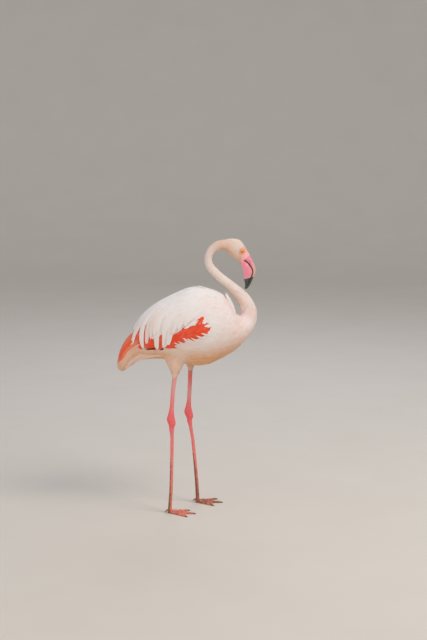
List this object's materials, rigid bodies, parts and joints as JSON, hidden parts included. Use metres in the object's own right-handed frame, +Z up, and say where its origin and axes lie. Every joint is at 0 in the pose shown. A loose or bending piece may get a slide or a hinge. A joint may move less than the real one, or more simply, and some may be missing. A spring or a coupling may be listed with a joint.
{
  "type": "greater flamingo",
  "caption": "Life-size still model of a greater flamingo standing on both legs, neck held in an S with the bill hanging in front of it.",
  "frame": {"origin": "on the floor, at the middle of the bird's box seen from above", "axes": "+X the way the bird faces, +Y its left side, +Z up"},
  "size_m": [0.4629, 0.2144, 0.9073],
  "materials": {
    "plumage": "soft white contour feathers, bluish on the back, peach pink on breast and belly",
    "wing_plumage": "white scapulars and tertials over vermilion wing coverts, black flight feather tips",
    "tail_plumage": "cream white tail feathers with orange red upper coverts",
    "leg_skin": "coral pink scaled skin, brown with dried mud towards the feet",
    "bill": "satin keratin, pink with a black tip",
    "claw": "dark worn horn",
    "eye": "wet clear surface over a pale yellow iris and black pupil"
  },
  "bodies": {
    "root": {"head": "plumage", "neck_base": "plumage", "neck_lower": "plumage", "neck_middle": "plumage", "neck_hook": "plumage", "neck_nape": "plumage", "trunk": "plumage", "thigh_right": "plumage", "thigh_left": "plumage", "wing_right": "wing_plumage", "wing_left": "wing_plumage", "tail": "tail_plumage", "shin_right": "leg_skin", "shin_left": "leg_skin", "ankle_right": "leg_skin", "ankle_left": "leg_skin", "shank_right": "leg_skin", "shank_left": "leg_skin", "foot_right": "leg_skin", "foot_left": "leg_skin", "bill_upper": "bill", "bill_lower": "bill", "claw_inner_right": "claw", "claw_middle_right": "claw", "claw_outer_right": "claw", "claw_hind_right": "claw", "claw_inner_left": "claw", "claw_middle_left": "claw", "claw_outer_left": "claw", "claw_hind_left": "claw", "eye_right": "eye", "eye_left": "eye"}
  },
  "joints": []
}
